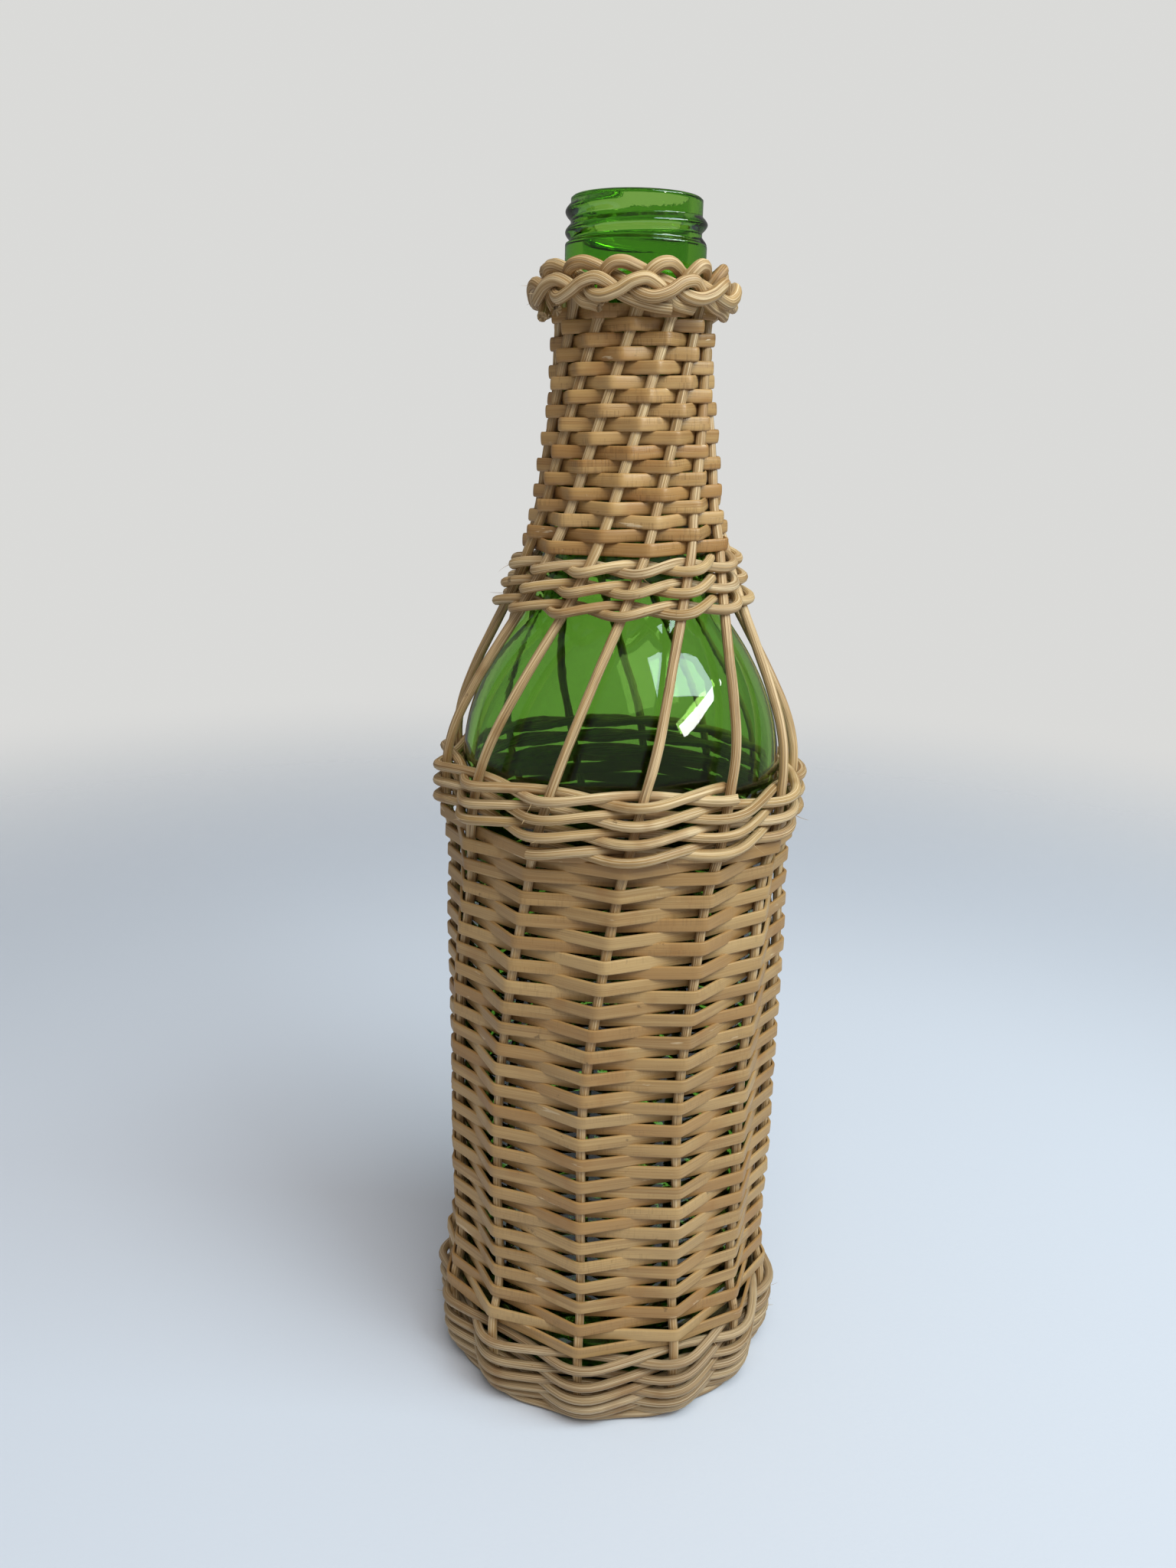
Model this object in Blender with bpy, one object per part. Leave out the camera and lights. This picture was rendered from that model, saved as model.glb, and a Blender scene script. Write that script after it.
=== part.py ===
"""Green glass bottle with a screw neck in a woven cane jacket, standing upright on the ground at z = 0.

The jacket is built as a basket maker builds it. Round cane stakes rise from a mat under the bottle, lean
round the shoulder and the neck, and end in a plaited border. Weavers are wound round them from the bottom up:
a base wale of paired round strands, one long flat cane, an upper wale, open twined bands, and a flat cane on
the neck. Azimuth 0 looks at the front, along +Y, and grows towards +X.
"""
import math

import bmesh
import bpy
import numpy as np

# Glass bottle, metres
lip_height = 0.295
body_radius = 0.0394
neck_radius = 0.0145
glass_wall = 0.0025
floor_thickness = 0.004
heel_height = 0.0062
shoulder_height = 0.166
collar_top_drop = 0.0098
collar_height = 0.0057
collar_foot = 0.002
collar_step = 0.0015
thread_root_step = 0.0003
thread_depth = 0.0012
thread_width = 0.0024
thread_pitch = 0.0041
thread_start_rise = 0.001
thread_turns = 1.7
thread_start_degrees = 50
thread_fade_degrees = 25
thread_ring_count = 13
lip_rounding = 0.0008
glass_sides = 30

# Outer outline of the heel: share of the body radius, share of the heel height
heel_shares = ((0.05, 0.6), (0.55, 0.5), (0.80, 0.0), (0.90, 0.0), (0.965, 0.25), (1.0, 1.0))
# Shoulder and neck: share of the way up to the neck's top, share of the way out to the body radius
shoulder_shares = (
    (0.0, 1.0), (0.05, 0.98), (0.10, 0.935), (0.15, 0.862), (0.205, 0.750), (0.262, 0.585), (0.315, 0.45),
    (0.37, 0.355), (0.43, 0.27), (0.50, 0.20), (0.56, 0.16), (0.63, 0.12), (0.70, 0.076), (0.775, 0.04),
    (0.85, 0.012), (0.92, 0.0), (1.0, 0.0),
)

# Cane
# The count of stakes is odd, so that one flat weaver passes over and under by turns
stake_count = 13
stake_diameter = 0.0021
strand_diameter = 0.00205
strip_thickness = 0.00065
strip_width = 0.00262
stake_sides = 5
strand_sides = 4

# Clearances
seat_gap = 0.0003
cane_gap = 0.00022
row_gap = 0.00026
band_opening = 0.0002
strand_gap = 0.0001

# Base mat
mat_thickness = 0.0022
mat_reach = 0.0044
mat_sides = 36

# Counts and places of the woven zones, a crossing being one stake passed
base_first_stake = 6
base_crossings = 52
upper_crossings = 41
band_first_stake = 5
band_crossings = 40
wale_top_rise = 0.0012
band_place_share = 0.348
flare_swell = 0.0007
foot_tuck = 0.0006
shoulder_bow = 0.0006

# Lean of the stakes: share of the lip's height, azimuth of the first stake in degrees
lean_shares = (
    (0.0, -6.0), (0.10, -6.0), (0.305, -7.0), (0.41, -3.0), (0.51, 3.0), (0.566, 7.2), (0.63, 14.7),
    (0.665, 20.0), (0.695, 26.5), (0.746, 39.8), (0.797, 51.4), (0.854, 66.5), (0.90, 81.0), (0.92, 90.0),
)

# Plaited border: its height and reach as shares of a stake's diameter, and the line of one stake's end, as
# stake spacings along, share of the height, share of the reach
border_height_share = 4.1
border_reach_share = 2.93
border_shares = (
    (0.05, 0.22, 0.08), (0.12, 0.54, 0.28), (0.24, 0.83, 0.56), (0.43, 0.98, 0.60), (0.64, 1.0, 0.52),
    (0.88, 0.93, 0.35), (1.15, 0.80, 0.15), (1.45, 0.67, 0.21), (1.75, 0.50, 0.50), (1.98, 0.27, 0.80),
    (2.23, 0.17, 0.96), (2.55, 0.31, 1.0), (2.86, 0.54, 1.0), (3.11, 0.60, 0.93), (3.35, 0.49, 0.76),
    (3.55, 0.29, 0.64), (3.81, 0.09, 0.61), (4.13, 0.0, 0.61), (4.36, -0.06, 0.63),
)

spacing = 2 * math.pi / stake_count
stake_radius = stake_diameter / 2
strand_radius = strand_diameter / 2

glass_bottom = mat_thickness + seat_gap
collar_top = lip_height - collar_top_drop
collar_bottom = collar_top - collar_height
neck_top = collar_bottom - collar_foot
collar_radius = neck_radius + collar_step
thread_root_radius = neck_radius + thread_root_step


def side_offset(clear, radius, step):
    """How far a weaver's centre passes from a stake's: the clear distance, opened up for the weaver's bend."""
    bend = step / 2 + math.atan2(clear, radius * step)
    return clear / math.cos(bend)


pair_clear = stake_radius + cane_gap + strand_radius
strip_clear = stake_radius + cane_gap
pair_half_height = strand_radius + (strand_diameter + strand_gap) / 2
strip_half_height = strip_width / 2
pair_pitch = 2 * (strand_diameter + strand_gap)
band_pitch = pair_pitch + band_opening
strip_pitch = strip_width + row_gap

strip_standoff = seat_gap + strip_thickness + cane_gap + stake_radius
pair_standoff = seat_gap + strand_radius + side_offset(pair_clear, body_radius, spacing / 2)
band_standoff = seat_gap + strand_radius + side_offset(pair_clear, 2 * neck_radius, spacing / 2)


def next_start(previous_end, previous_pitch, previous_half, pitch, half):
    """Height at which one spiral may begin where another ends, with a row's gap after one full turn."""
    return previous_end - min(previous_pitch, pitch) + previous_half + half + row_gap


# Heights of the woven zones, each following the one below
base_start = mat_thickness + seat_gap + pair_half_height
base_end = base_start + base_crossings * pair_pitch / stake_count
body_start = next_start(base_end, pair_pitch, pair_half_height, strip_pitch, strip_half_height)
upper_height = upper_crossings * pair_pitch / stake_count
wale_top = shoulder_height + wale_top_rise
body_crossings = int((wale_top - upper_height - body_start) * stake_count / strip_pitch)
body_end = body_start + body_crossings * strip_pitch / stake_count
upper_start = next_start(body_end, strip_pitch, strip_half_height, pair_pitch, pair_half_height)
upper_end = upper_start + upper_height
band_start = shoulder_height + band_place_share * (neck_top - shoulder_height)
band_end = band_start + band_crossings * band_pitch / stake_count
neck_start = next_start(band_end, band_pitch, pair_half_height, strip_pitch, strip_half_height)
border_height = border_height_share * stake_diameter
border_reach = border_reach_share * stake_diameter
border_start = collar_bottom - border_height
neck_crossings = int((border_start - strip_half_height - neck_start) * stake_count / strip_pitch)


def material(name, colour, roughness, transmission=0.0):
    """A Principled material of one colour and roughness."""
    made = bpy.data.materials.new(name)
    made.use_nodes = True
    made.diffuse_color = (*colour, 1.0)
    shader = made.node_tree.nodes["Principled BSDF"]
    shader.inputs["Base Color"].default_value = (*colour, 1.0)
    shader.inputs["Roughness"].default_value = roughness
    shader.inputs["Metallic"].default_value = 0.0
    shader.inputs["Transmission Weight"].default_value = transmission
    return made


def loft(name, rings, finish):
    """One closed solid through a run of rings with equal counts of points, its two ends capped flat."""
    rings = np.asarray(rings)
    ring_count, side_count, _ = rings.shape
    first = np.arange(ring_count - 1)[:, None] * side_count
    here = first + np.arange(side_count)
    beside = first + np.roll(np.arange(side_count), -1)
    walls = np.stack((here, beside, beside + side_count, here + side_count), axis=-1).reshape(-1, 4)
    start = np.arange(side_count)[::-1].tolist()
    end = (np.arange(side_count) + (ring_count - 1) * side_count).tolist()
    mesh = bpy.data.meshes.new(name)
    mesh.from_pydata(rings.reshape(-1, 3).tolist(), [], walls.tolist() + [start, end])
    shape = bmesh.new()
    shape.from_mesh(mesh)
    bmesh.ops.recalc_face_normals(shape, faces=shape.faces)
    shape.to_mesh(mesh)
    shape.free()
    mesh.shade_smooth()
    mesh.set_sharp_from_angle(angle=math.radians(50))
    mesh.materials.append(finish)
    made = bpy.data.objects.new(name, mesh)
    bpy.context.scene.collection.objects.link(made)
    return made


def polar(radius, azimuth, height):
    """Points from a radius about the bottle's axis, an azimuth and a height."""
    return np.stack((radius * np.sin(azimuth), -radius * np.cos(azimuth), height + 0 * radius), axis=-1)


def tube_rings(centres, thickness, sides):
    """Round section carried along a path, one corner kept outward from the bottle's axis."""
    centres = np.asarray(centres)
    along = np.gradient(centres, axis=0)
    along /= np.linalg.norm(along, axis=1, keepdims=True)
    out = centres * (1, 1, 0)
    out /= np.linalg.norm(out, axis=1, keepdims=True)
    out -= along * np.sum(out * along, axis=1, keepdims=True)
    out /= np.linalg.norm(out, axis=1, keepdims=True)
    across = np.cross(along, out)
    angles = np.arange(sides) * 2 * math.pi / sides
    ring = np.cos(angles)[None, :, None] * out[:, None] + np.sin(angles)[None, :, None] * across[:, None]
    return centres[:, None] + ring * thickness / 2


# Glass

def shoulder_outline():
    """Heights and outer radii of the glass from the shoulder's foot to the neck's top."""
    shares = np.array(shoulder_shares)
    heights = shoulder_height + shares[:, 0] * (neck_top - shoulder_height)
    return heights, neck_radius + shares[:, 1] * (body_radius - neck_radius)


def glass_radius(height):
    """Outer radius of the glass wall at a height on the body, the shoulder or the neck."""
    heights, radii = shoulder_outline()
    return np.interp(height, heights, radii)


def thread_swell(azimuth, height):
    """How far the screw thread stands out: a rounded ridge on a rising helix, faded out at both ends."""
    swell = np.zeros_like(azimuth)
    start = math.radians(thread_start_degrees)
    full = thread_turns * 2 * math.pi
    fade = math.radians(thread_fade_degrees)
    for turn in range(math.ceil(thread_turns) + 1):
        wound = np.mod(azimuth - start, 2 * math.pi) + turn * 2 * math.pi
        centre = collar_top + thread_start_rise + thread_pitch * wound / (2 * math.pi)
        ridge = np.cos(np.clip((height - centre) / (thread_width / 2), -1, 1) * math.pi / 2)
        ends = np.clip(wound / fade, 0, 1) * np.clip((full - wound) / fade, 0, 1)
        swell = np.maximum(swell, ridge ** 0.6 * ends)
    return swell * thread_depth


def glass_bottle(finish):
    """The bottle as one turned wall, from under its floor, out and over the lip, and down inside."""
    azimuth = np.arange(glass_sides) * 2 * math.pi / glass_sides
    full = np.ones(glass_sides)
    rings = []
    for radius_share, height_share in heel_shares:
        rings.append(polar(full * body_radius * radius_share, azimuth, glass_bottom + heel_height * height_share))
    heights, radii = shoulder_outline()
    for height, radius in zip(heights, radii):
        rings.append(polar(full * radius, azimuth, height))
    rings.append(polar(full * collar_radius, azimuth, collar_bottom))
    rings.append(polar(full * collar_radius, azimuth, collar_top))
    thread_bottom = collar_top + (collar_radius - thread_root_radius) / 2
    for height in np.linspace(thread_bottom, lip_height - lip_rounding, thread_ring_count):
        rings.append(polar(thread_root_radius + thread_swell(azimuth, height), azimuth, height))
    bore_radius = neck_radius - glass_wall
    rings.append(polar(full * (thread_root_radius - lip_rounding / 2), azimuth, lip_height))
    rings.append(polar(full * (bore_radius + lip_rounding / 2), azimuth, lip_height))
    rings.append(polar(full * bore_radius, azimuth, lip_height - lip_rounding))
    for height, radius in list(zip(heights, radii))[:0:-2]:
        rings.append(polar(full * (radius - glass_wall), azimuth, height))
    inner_radius = body_radius - glass_wall
    rings.append(polar(full * inner_radius, azimuth, shoulder_height))
    for radius_share, height_share in heel_shares[::-1]:
        height = glass_bottom + floor_thickness + heel_height * height_share
        rings.append(polar(full * inner_radius * radius_share, azimuth, height))
    return loft("glass_bottle", rings, finish)


# Stakes

def stake_line():
    """Heights and radii of a stake's centre line, from its foot to where the border starts."""
    foot = mat_thickness + seat_gap
    flare = pair_standoff + flare_swell
    heights = [foot, base_start + heel_height, base_end, base_end + 3 * strip_width]
    radii = [body_radius + pair_standoff - foot_tuck - flare_swell, body_radius + pair_standoff,
             body_radius + flare, body_radius + strip_standoff]
    heights += [(base_end + body_end) / 2, body_end - 2 * strip_width, upper_start - strand_radius, upper_end]
    radii += [body_radius + strip_standoff, body_radius + strip_standoff,
              body_radius + pair_standoff, body_radius + pair_standoff]
    open_bottom = band_start - pair_half_height
    open_middle = (upper_end + open_bottom) / 2
    heights += [open_middle, open_bottom]
    radii += [(radii[-1] + glass_radius(open_bottom) + band_standoff) / 2 + shoulder_bow,
              glass_radius(open_bottom) + band_standoff]
    for share in (0.5, 1.0):
        height = band_start + share * (band_end - band_start)
        heights.append(height)
        radii.append(glass_radius(height) + band_standoff)
    neck_steps = 6
    for step in range(1, neck_steps + 1):
        height = neck_start + (border_start - neck_start) * step / neck_steps
        heights.append(height)
        radii.append(glass_radius(height) + strip_standoff)
    return np.array(heights), np.array(radii)


line_heights, line_radii = stake_line()
lean = np.array(lean_shares)
line_azimuths = np.radians(np.interp(line_heights, lean[:, 0] * lip_height, lean[:, 1]))
line_points = polar(line_radii, line_azimuths, line_heights)


def stake_at(height):
    """Radius and azimuth of the first stake's straight-run centre line at a height."""
    x, y, _ = (np.interp(height, line_heights, line_points[:, axis]) for axis in range(3))
    wraps = np.round((np.interp(height, line_heights, line_azimuths) - np.arctan2(x, -y)) / (2 * math.pi))
    return np.hypot(x, y), np.arctan2(x, -y) + wraps * 2 * math.pi


def border_line():
    """Centre line of one stake's end: over and behind its neighbours, out round them, and cut off below."""
    along, up, out = np.array(border_shares).T
    radii = line_radii[-1] + out * border_reach
    azimuths = line_azimuths[-1] + along * spacing
    return polar(radii, azimuths, line_heights[-1] + up * border_height)


def turned(points, angle):
    """Points turned about the bottle's axis, towards greater azimuths."""
    cosine, sine = math.cos(angle), math.sin(angle)
    return points @ np.array(((cosine, sine, 0), (-sine, cosine, 0), (0, 0, 1)))


def stakes(finish):
    """The round cane stakes, alike and evenly spaced."""
    path = np.concatenate((line_points, border_line()))
    for number in range(stake_count):
        rings = tube_rings(turned(path, number * spacing), stake_diameter, stake_sides)
        loft(f"stake_{number + 1:02d}", rings, finish)


# Weavers

def strip_weaver(name, first_stake, start, crossings, finish):
    """A flat cane wound up a zone, over one stake and under the next, folded along each stake it crosses."""
    crossing = np.arange(1, crossings)
    stake = first_stake + crossing
    middle = start + crossing * strip_pitch / stake_count
    over = stake % 2 == 1
    radius, _ = stake_at(middle)
    nominal = strip_clear / np.cos(spacing / 2 + np.arctan2(2 * strip_clear, radius * spacing))
    offset = np.where(over, nominal, -strip_clear) + np.where(over, 1, -1) * strip_thickness / 2
    corners = []
    for level, depth in ((-1, -1), (1, -1), (1, 1), (-1, 1)):
        height = middle + level * strip_half_height
        at_radius, at_azimuth = stake_at(height)
        corners.append(polar(at_radius + offset + depth * strip_thickness / 2,
                             at_azimuth + stake * spacing, height))
    return loft(name, np.stack(corners, axis=1), finish)


def strand_path(strand, first_stake, start, pitch, crossings):
    """Centre line of one of two strands that pass on both sides of each stake and cross in between.

    Each strand lies in front of one stake and low, climbs over its partner, and lies behind the next one, high.
    """
    step = np.arange(2 * crossings + 1)
    stake = first_stake + step / 2
    middle = start + step / 2 * pitch / stake_count
    radius, _ = stake_at(middle)
    at_stake = step % 2 == 0
    in_front = (step // 2 + strand) % 2 == 0
    sign = np.where(in_front, 1, -1)
    reach = pair_clear / np.cos(spacing / 4 + np.arctan2(pair_clear, radius * spacing / 2))
    out = sign * np.where(at_stake, reach, strand_radius / 2)
    swap = (strand_diameter + strand_gap) / 2
    rise = sign * np.where(at_stake, -swap * 2 / 3, swap)
    at_radius, at_azimuth = stake_at(middle + rise)
    return polar(at_radius + out, at_azimuth + stake * spacing, middle + rise)


def twined_pair(name, first_stake, start, pitch, crossings, finish):
    """Two round strands wound up a zone together."""
    for strand, side in enumerate(("a", "b")):
        path = strand_path(strand, first_stake, start, pitch, crossings)
        loft(f"{name}_{side}", tube_rings(path, strand_diameter, strand_sides), finish)


def base_mat(finish):
    """The mat under the bottle, with the rounded foot that the basket stands on."""
    azimuth = np.arange(mat_sides) * 2 * math.pi / mat_sides
    full = np.ones(mat_sides)
    rim = body_radius + mat_reach
    half = mat_thickness / 2
    centre = mat_thickness
    outline = ((centre, 0), (rim - half, 0), (rim - half / 3, half / 3), (rim, half),
               (rim - half / 3, 2 * half - half / 3), (rim - half, mat_thickness), (centre, mat_thickness))
    rings = [polar(full * radius, azimuth, height) for radius, height in outline]
    return loft("base_mat", rings, finish)


def build():
    """All the pieces, from the ground up."""
    for old in list(bpy.data.objects):
        bpy.data.objects.remove(old)
    glass = material("green_glass", (0.06, 0.30, 0.03), 0.05, 1.0)
    round_cane = material("round_cane", (0.60, 0.42, 0.22), 0.5)
    pale_cane = material("pale_round_cane", (0.66, 0.50, 0.29), 0.5)
    flat_cane = material("flat_cane", (0.56, 0.35, 0.16), 0.4)
    neck_cane = material("neck_cane", (0.50, 0.30, 0.13), 0.4)
    mat_cane = material("mat_cane", (0.62, 0.46, 0.26), 0.55)
    base_mat(mat_cane)
    glass_bottle(glass)
    stakes(round_cane)
    stake = base_first_stake
    twined_pair("base_wale", stake, base_start, pair_pitch, base_crossings, pale_cane)
    stake += base_crossings
    strip_weaver("body_weaver", stake, body_start, body_crossings, flat_cane)
    stake += body_crossings
    twined_pair("upper_wale", stake, upper_start, pair_pitch, upper_crossings, pale_cane)
    stake = band_first_stake
    twined_pair("shoulder_twine", stake, band_start, band_pitch, band_crossings, pale_cane)
    stake += band_crossings
    strip_weaver("neck_weaver", stake, neck_start, neck_crossings, neck_cane)


build()
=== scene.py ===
import math

import bpy
import numpy as np
from mathutils import Matrix, Quaternion, Vector


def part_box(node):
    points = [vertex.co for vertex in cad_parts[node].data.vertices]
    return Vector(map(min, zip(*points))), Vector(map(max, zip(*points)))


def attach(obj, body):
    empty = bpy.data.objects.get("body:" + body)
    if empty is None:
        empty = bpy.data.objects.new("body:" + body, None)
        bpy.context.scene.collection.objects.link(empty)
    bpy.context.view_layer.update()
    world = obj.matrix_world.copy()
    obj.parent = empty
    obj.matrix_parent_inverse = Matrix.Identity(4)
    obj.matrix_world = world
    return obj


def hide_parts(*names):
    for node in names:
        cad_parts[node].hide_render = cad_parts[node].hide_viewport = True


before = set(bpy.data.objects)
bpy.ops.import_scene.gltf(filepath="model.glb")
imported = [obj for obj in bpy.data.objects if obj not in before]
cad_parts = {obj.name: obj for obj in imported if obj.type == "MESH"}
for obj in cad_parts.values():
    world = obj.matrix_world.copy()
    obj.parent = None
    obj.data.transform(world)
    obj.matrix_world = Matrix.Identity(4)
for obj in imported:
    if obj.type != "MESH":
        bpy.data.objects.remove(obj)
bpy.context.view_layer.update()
mm = 0.001


# The glass bottle
# Clear green container glass, blown in a mould: a wall of about 2.5 mm, a pushed-up base, and a neck with a
# screw thread above a plain collar. Only the shoulder and the mouth stand clear of the cane.

glass_wall = 2.5 * mm
glass_sides = 256
glass_low, glass_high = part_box("glass_bottle")
underside = glass_low.z
lip = glass_high.z
body_radius = 39.4 * mm
neck_radius = 14.5 * mm
collar_radius = 16.0 * mm
collar_top = lip - 9.8 * mm
collar_bottom = collar_top - 5.7 * mm
finish_radius = 14.8 * mm
lip_round = 0.9 * mm
lip_rings = 8
bore_top = lip - 2 * mm
bore_rings = 12

# The collar's outline: how far under it the plain neck is drawn, where its foot flares out, its small step,
# and how far over it the plain finish is drawn
collar_below = 2.6 * mm
collar_flare = 1.2 * mm
collar_step = 0.3 * mm
collar_above = 1.1 * mm
collar_round = 0.55 * mm
collar_round_rings = 7

# The screw thread. The smaller thread_crest is, the broader is the thread's crest.
thread_depth = 1.2 * mm
thread_half_width = 1.75 * mm
thread_crest = 0.6
thread_pitch = 4.3 * mm
thread_foot = collar_top - 0.25 * mm
thread_room = 1.5 * mm
thread_turns = 1.79
thread_from = math.radians(70)
thread_fade = math.radians(22)
threaded_from = collar_top + 1.2 * mm
threaded_rings = 72

# The walls aren't quite even, the inside less so than the outside, and the middle of the base is plain
glass_waviness = 0.07 * mm
inside_waviness = 2 * glass_waviness
outside_phase = 0.4
inside_phase = 2.1
plain_radius = 5 * mm
wavy_radius = 25 * mm

# Radius and height in millimetres, from the middle of the underside to the body, and over the shoulder
heel_points = (
    (1.2, 6.3), (12, 6.1), (22, 5.2), (29, 3.0), (32.5, 2.5), (35.3, 2.6), (38.0, 4.2), (39.4, 8.7),
)
heel_foot = 2.5 * mm
heel_rings = 24
base_thickness = 4 * mm
shoulder_points = (
    (39.4, 160), (39.4, 166), (38.9, 171.6), (37.8, 177.2), (36.0, 182.7), (33.2, 188.9), (29.5, 195.2),
    (25.3, 201.1), (22.7, 205.2), (21.6, 209.5), (20.8, 214.5), (19.4, 222.5), (17.5, 236.2), (15.6, 252),
    (14.6, 266), (14.5, 277),
)
shoulder_rings = 240
shoulder_ease = 8

# The glass's colours as seen through one face: on the shoulder between two tones, darkened by painted shade
# behind the top of the body weave, where little light gets in, and at the neck. Then the colour that the
# thickness adds.
glass_deep = (0.54, 0.76, 0.35, 1)
glass_pale = (0.61, 0.84, 0.42, 1)
belt_shade_colour = (0.40, 0.54, 0.21, 1)
belt_from = 108 * mm
belt_full = 135 * mm
belt_fades = 138 * mm
belt_ends = 166 * mm
neck_colour = (0.405, 0.69, 0.18, 1)
neck_from = 215 * mm
neck_full = 268 * mm
depth_colour = (0.42, 0.70, 0.03, 1)
depth_density = 230.0

# How deep the ripple is, and the heights between which the lip's finer one begins
ripple_depth = 0.4 * mm
lip_from = 284 * mm
lip_full = 290 * mm


def flowing(points, count):
    """A smooth line through points, as cubic pieces.

    Each piece leaves its point with the slope that the two neighbours give, and the points are set apart by
    the lengths between them. The result is count places, evenly spaced along the line.
    """
    points = np.asarray(points, float)
    knots = np.concatenate(([0], np.cumsum(np.linalg.norm(np.diff(points, axis=0), axis=1))))
    slopes = np.gradient(points, knots, axis=0)
    at = np.linspace(0, knots[-1], count)
    piece = np.clip(np.searchsorted(knots, at, side="right") - 1, 0, len(knots) - 2)
    span = (knots[piece + 1] - knots[piece])[:, None]
    part = (at - knots[piece])[:, None] / span
    left = 1 - part
    ends = (1 + 2 * part) * left ** 2 * points[piece] + (3 - 2 * part) * part ** 2 * points[piece + 1]
    bends = part * left ** 2 * slopes[piece] - left * part ** 2 * slopes[piece + 1]
    return ends + bends * span


def eased(points, reach):
    """The same line with its small kinks averaged out, over reach places to each side. Its two ends stay."""
    weight = np.hanning(2 * reach + 3)[1:-1]
    weight /= weight.sum()
    before = 2 * points[0] - points[reach:0:-1]
    after = 2 * points[-1] - points[-2:-reach - 2:-1]
    longer = np.concatenate((before, points, after))
    return np.stack([np.convolve(column, weight, "valid") for column in longer.T], axis=1)


def rounded(points, reach, count):
    """A line through points with each corner cut back by reach and filled by an arc of count places.

    The arc is a parabola: the corner, plus part * part of the arm ahead, plus (1 - part) * (1 - part) of the
    arm behind.
    """
    points = np.asarray(points, float)
    here = points[1:-1, None]
    back, ahead = points[:-2, None] - here, points[2:, None] - here
    back = back / np.linalg.norm(back, axis=2, keepdims=True) * reach
    ahead = ahead / np.linalg.norm(ahead, axis=2, keepdims=True) * reach
    part = np.linspace(0, 1, count)[None, :, None]
    arcs = here + back * (1 - part) ** 2 + ahead * part ** 2
    return np.concatenate((points[:1], arcs.reshape(-1, 2), points[-1:]))


def around(radius, azimuth, height):
    """Places about the bottle's axis. Azimuth 0 is the front, towards -Y, and it grows to the right."""
    radius, azimuth, height = np.broadcast_arrays(radius, azimuth, height)
    return np.stack((radius * np.sin(azimuth), -radius * np.cos(azimuth), height), axis=-1)


def surface(name, places, finish, uv=None, sharp=60):
    """One mesh from a grid of places, closed round and capped at both ends.

    The grid's dimensions are pieces, rings, points round and 3, and a grid of three dimensions is one piece.
    uv has one more point round, so that the seam closes. Edges of more than sharp degrees stay sharp.
    """
    places = places.reshape(-1, *places.shape[-3:])
    pieces, rings, sides, _ = places.shape
    corner = np.arange(pieces * rings * sides).reshape(pieces, rings, sides)
    beside = np.roll(corner, -1, axis=2)
    walls = np.stack((corner[:, :-1], beside[:, :-1], beside[:, 1:], corner[:, 1:]), axis=-1)
    caps = np.stack((corner[:, 0, ::-1], corner[:, -1]), axis=1)
    loops = np.concatenate((walls.ravel(), caps.ravel()))
    starts = np.concatenate((np.arange(0, walls.size, 4), walls.size + np.arange(0, caps.size, sides)))
    mesh = bpy.data.meshes.new(name)
    mesh.vertices.add(corner.size)
    mesh.vertices.foreach_set("co", places.astype(np.float32).ravel())
    mesh.loops.add(len(loops))
    mesh.loops.foreach_set("vertex_index", loops.astype(np.int32))
    mesh.polygons.add(len(starts))
    mesh.polygons.foreach_set("loop_start", starts.astype(np.int32))
    mesh.update(calc_edges=True)
    mesh.validate()
    if uv is not None:
        uv = uv.reshape(pieces, rings, sides + 1, 2)
        here, next_to = uv[:, :, :-1], uv[:, :, 1:]
        wall_uv = np.stack((here[:, :-1], next_to[:, :-1], next_to[:, 1:], here[:, 1:]), axis=-2)
        cap_uv = np.stack((here[:, 0, ::-1], here[:, -1]), axis=1)
        layer = mesh.uv_layers.new(name="cane")
        layer.data.foreach_set("uv", np.concatenate((wall_uv.ravel(), cap_uv.ravel())).astype(np.float32))
    mesh.shade_smooth()
    mesh.set_sharp_from_angle(angle=math.radians(sharp))
    mesh.materials.append(finish)
    made = bpy.data.objects.new(name, mesh)
    bpy.context.scene.collection.objects.link(made)
    return made


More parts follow.
